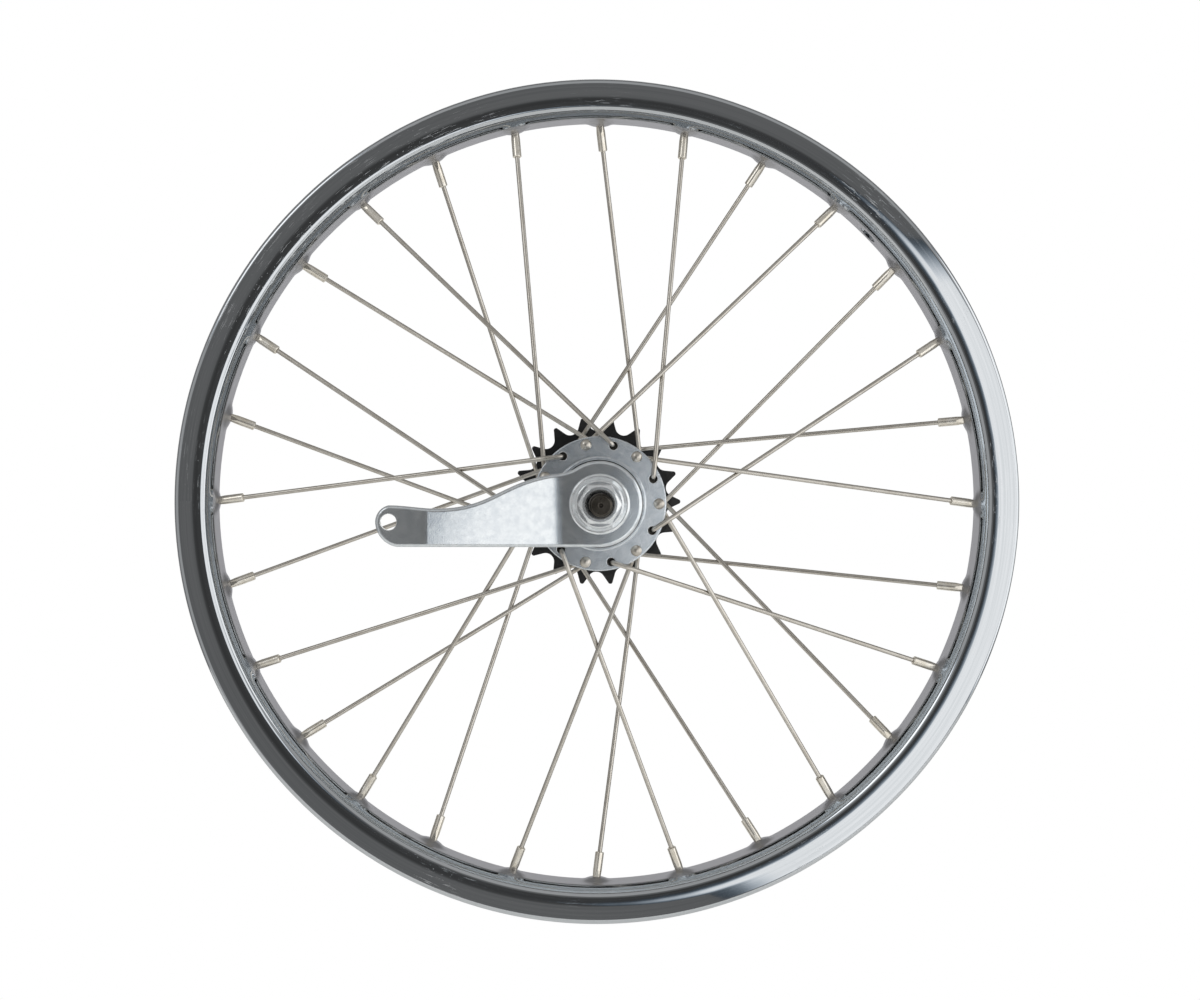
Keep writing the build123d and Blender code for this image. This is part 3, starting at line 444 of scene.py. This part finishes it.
hubSide = stripPath()
tyreSide = [(p[0] - rimLook["sheet"] * n[0], p[1] - rimLook["sheet"] * n[1]) for p, n in hubSide]
rimSection = [p for p, _ in hubSide] + beadArc(1) + tyreSide[::-2] + beadArc(-1)[::-1]
wellR = rimLook["outerR"] - rimLook["corners"][-1][0]
rimAngles = []
for hole in range(rimLook["holes"]):
    for place in (*[-p for p in reversed(rimLook["places"])], 0.0, *rimLook["places"]):
        rimAngles.append(2 * math.pi * hole / rimLook["holes"] + place / wellR)
rimPoints, rimFaces = turnRound(rimSection, rimAngles, flareAt)
rim = addPiece("rolledRim", rimPoints, rimFaces, "rim", "wheel", "chromed_steel")


def drillValveHole():
    # a short rod through the well, taken away from the strip
    away = math.radians(rimLook["valveAngle"])
    aim = Vector((math.cos(away), 0.0, math.sin(away)))
    shape = bmesh.new()
    bmesh.ops.create_cone(shape, cap_ends=True, segments=rimLook["valveSides"], radius1=rimLook["valveR"],
                          radius2=rimLook["valveR"], depth=rimLook["drillLength"])
    shape.transform(Matrix.LocRotScale(aim * wellR, aim.to_track_quat("Z", "Y"), None))
    mesh = bpy.data.meshes.new("valveDrill")
    shape.to_mesh(mesh)
    shape.free()
    drill = addObject("valveDrill", mesh)
    cut = rim.modifiers.new("valveHole", "BOOLEAN")
    cut.object = drill
    cut.solver = "EXACT"
    bpy.context.view_layer.update()
    done = bpy.data.meshes.new_from_object(rim.evaluated_get(bpy.context.evaluated_depsgraph_get()))
    rim.modifiers.clear()
    rim.data = done
    bpy.data.objects.remove(drill)


drillValveHole()
print("rim:", sum(len(face.vertices) - 2 for face in rim.data.polygons), "triangles")

# axle: rolled thread on both free ends, centre-drilled faces
axleLook = {
    "crest": 0.00475, "root": 0.0043, "core": 0.0044, "pitch": 0.000977, "perPitch": 8, "segments": 40,
    "halfLength": 0.0825, "threadStart": 0.0555, "chamfer": 0.0008,
    "drillR": 0.0011, "drillTip": 0.0002, "drillDepth": 0.0009,
}


def addAxle():
    tip, begin = axleLook["halfLength"], axleLook["threadStart"]
    rows = int((tip - begin) / axleLook["pitch"] * axleLook["perPitch"])
    stations = [begin + (tip - begin) * k / rows for k in range(rows + 1)]
    count = axleLook["segments"]
    points, rings = [], []

    def addRing(depth, radiusAt):
        rings.append(len(points))
        for i in range(count):
            turn = i / count
            radius = radiusAt(turn)
            points.append((radius * math.cos(2 * math.pi * turn), depth, radius * math.sin(2 * math.pi * turn)))

    def threadAt(depth):
        limit = axleLook["crest"] - max(0.0, abs(depth) - tip + axleLook["chamfer"])

        def radiusAt(turn):
            phase = (depth / axleLook["pitch"] + turn) % 1.0
            return min(limit, axleLook["root"] + (axleLook["crest"] - axleLook["root"]) * abs(2 * phase - 1))
        return radiusAt

    for side in (-1, 1):
        ends = [(side * (tip - axleLook["drillDepth"]), axleLook["drillTip"]), (side * tip, axleLook["drillR"])]
        outwards = [(side * depth, None) for depth in stations]
        both = [*ends, *reversed(outwards)] if side < 0 else [*outwards, *reversed(ends)]
        for depth, plain in both:
            addRing(depth, threadAt(depth) if plain is None else lambda turn, r=plain: r)
        if side < 0:
            for depth in (-begin, begin):
                addRing(depth, lambda turn: axleLook["core"])
    faces = [tuple(range(count - 1, -1, -1)), tuple(range(rings[-1], rings[-1] + count))]
    for near, far in zip(rings, rings[1:]):
        for i in range(count):
            k = (i + 1) % count
            faces.append((near + i, near + k, far + k, far + i))
    return addPiece("threadedAxle", points, faces, "axle", "axle_set", "dark_steel")


axle = addAxle()
print("axle:", len(axle.data.polygons), "faces")

# studio: white all round, with a grey tent that only mirrors see, so that the chrome has contrast
studio = {
    "ambient": 0.75, "white": "#ffffff",
    "tentSize": 1.6, "tentReach": 153.0, "tentRings": 40, "tentSides": 72,
    # brightness of the tent by degrees from the camera's side
    "tent": (
        (0, 0.05), (6, 0.07), (11, 0.15), (23, 0.165), (29, 0.42), (58, 0.45), (80, 0.38),
        (90, 0.14), (97, 0.11), (108, 0.38), (116, 0.36), (128, 0.26), (153, 0.22),
    ),
    "cardEdge": "#b4cbe0", "cardSides": 64,
    "board": "#eeeeec", "boardRoughness": 0.9,
    "floorLevel": -0.58, "floorSize": 2.6, "floorForward": 0.06, "floorSides": 96,
}
# soft boxes: the brightness of the middle and of the rim, and the share of the width that fades
cards = (
    {"name": "panelBesideCamera", "centre": (0.47, -0.97, -0.12), "towards": (0.47, 0.0, -0.12),
     "width": 0.92, "height": 0.74, "strength": 1.16, "dark": 0.12, "soft": 0.06},
    {"name": "panelRight", "centre": (1.0, -0.55, 0.1), "towards": (0.0, -0.55, 0.1),
     "width": 1.5, "height": 1.3, "strength": 1.35, "dark": 0.2, "soft": 0.05},
    {"name": "panelUpperLeft", "centre": (-0.68, -0.74, 0.56), "towards": (0.0, 0.0, 0.0),
     "width": 0.58, "height": 0.58, "strength": 1.7, "dark": 0.18, "soft": 0.12},
)
world = bpy.data.worlds.new("studio")
bpy.context.scene.world = world
world.use_nodes = True
air = world.node_tree
air.nodes.clear()
rays = addNode(air, "ShaderNodeLightPath")
mirrored = mathOf(air, "MAXIMUM", rays.outputs["Is Glossy Ray"], rays.outputs["Is Transmission Ray"])
seen = mathOf(air, "MAXIMUM", rays.outputs["Is Camera Ray"], mirrored)
level = rangeOf(air, seen, (0.0, 1.0), (studio["ambient"], 1.0))
sky = addNode(air, "ShaderNodeBackground", {"Color": fromHex(studio["white"])}, {"Strength": level})
addNode(air, "ShaderNodeOutputWorld", links={"Surface": sky.outputs[0]})


def glowing(name):
    # a material that only shines
    material, tree, shader = newMaterial(name)
    tree.nodes.remove(shader)
    glow = addNode(tree, "ShaderNodeEmission", {"Strength": 1.0})
    tree.links.new(glow.outputs[0], tree.nodes["Material Output"].inputs["Surface"])
    return material, tree, glow


def addTent():
    # most of a ball round the part, open at the back
    rings, count, size = studio["tentRings"], studio["tentSides"], studio["tentSize"]
    points = [(0.0, -size, 0.0)]
    faces = []
    for ring in range(1, rings + 1):
        away = math.radians(studio["tentReach"] * ring / rings)
        across = size * math.sin(away)
        for i in range(count):
            turn = 2 * math.pi * i / count
            points.append((across * math.cos(turn), -size * math.cos(away), across * math.sin(turn)))
    for i in range(count):
        k = (i + 1) % count
        faces.append((0, 1 + i, 1 + k))
        for ring in range(rings - 1):
            near, far = 1 + ring * count, 1 + (ring + 1) * count
            faces.append((near + i, far + i, far + k, near + k))
    mesh = bpy.data.meshes.new("tent")
    mesh.from_pydata(points, [], faces)
    tent = addObject("tent", mesh)
    material, tree, glow = glowing("tentCloth")
    material.cycles.emission_sampling = "NONE"    # only mirrors see the tent, so it needs no light samples
    aim = addNode(tree, "ShaderNodeVectorMath", {"operation": "NORMALIZE"}, {0: objectPlace(tree)})
    split = addNode(tree, "ShaderNodeSeparateXYZ", links={0: aim.outputs[0]})
    depth = rangeOf(tree, split.outputs["Y"], (-1.0, 1.0), (0.0, 1.0))
    stops = [((1 - math.cos(math.radians(away))) / 2, value) for away, value in studio["tent"]]
    tree.links.new(rampOf(tree, depth, stops), glow.inputs["Color"])
    mesh.materials.append(material)
    tent.visible_camera = False
    tent.visible_diffuse = False
    tent.visible_shadow = False


addTent()


def addDisc(name, sides, radius):
    shape = bmesh.new()
    bmesh.ops.create_circle(shape, cap_ends=True, segments=sides, radius=radius)
    mesh = bpy.data.meshes.new(name)
    shape.to_mesh(mesh)
    shape.free()
    return addObject(name, mesh)


def addCard(look):
    # a round soft box, even in its middle and fading to a dark blue rim
    reach = 0.5
    fadeSpan = (reach - look["soft"], reach)
    card = addDisc(look["name"], studio["cardSides"], reach)
    centre = Vector(look["centre"])
    turn = (Vector(look["towards"]) - centre).to_track_quat("Z", "Y")
    card.matrix_world = Matrix.LocRotScale(centre, turn, Vector((look["width"], look["height"], 1.0)))
    material, tree, glow = glowing(look["name"])
    edge = addNode(tree, "ShaderNodeVectorMath", {"operation": "LENGTH"}, {0: objectPlace(tree)}).outputs["Value"]
    hues = list(zip(fadeSpan, (fromHex(studio["white"]), fromHex(studio["cardEdge"]))))
    fade = rangeOf(tree, edge, fadeSpan, (look["strength"], look["dark"]), "SMOOTHSTEP")
    tree.links.new(rampOf(tree, edge, hues), glow.inputs["Color"])
    tree.links.new(fade, glow.inputs["Strength"])
    card.data.materials.append(material)
    card.visible_camera = False
    card.visible_shadow = False


for cardLook in cards:
    addCard(cardLook)

# mat board: uncoated paper, so it is even and without gloss
floor = addDisc("floor", studio["floorSides"], studio["floorSize"] / 2)
floor.location = (0.0, -studio["floorForward"], studio["floorLevel"])
floorFinish, _, floorShader = newMaterial("matBoard")
floorShader.inputs["Base Color"].default_value = fromHex(studio["board"])
floorShader.inputs["Roughness"].default_value = studio["boardRoughness"]
floor.data.materials.append(floorFinish)
print("studio: a tent,", len(cards), "soft boxes and a floor")

# camera a little left of and above the axle, as the photograph's perspective shows
cameraLook = {
    "place": (-0.0142, -0.900, 0.0135), "target": (0.0007, -0.013, 0.0013),
    "lens": 60.9, "sensor": 36.0, "roll": 0.27,
}
eye = bpy.data.cameras.new("camera")
eye.lens = cameraLook["lens"]
eye.sensor_width = cameraLook["sensor"]
camera = addObject("camera", eye)
gaze = Vector(cameraLook["target"]) - Vector(cameraLook["place"])
camera.location = cameraLook["place"]
camera.rotation_mode = "QUATERNION"
roll = Matrix.Rotation(math.radians(cameraLook["roll"]), 3, "Z").to_quaternion()
camera.rotation_quaternion = gaze.to_track_quat("-Z", "Y") @ roll
bpy.context.scene.camera = camera
bpy.context.scene.view_settings.view_transform = "Standard"
print("camera: ready")
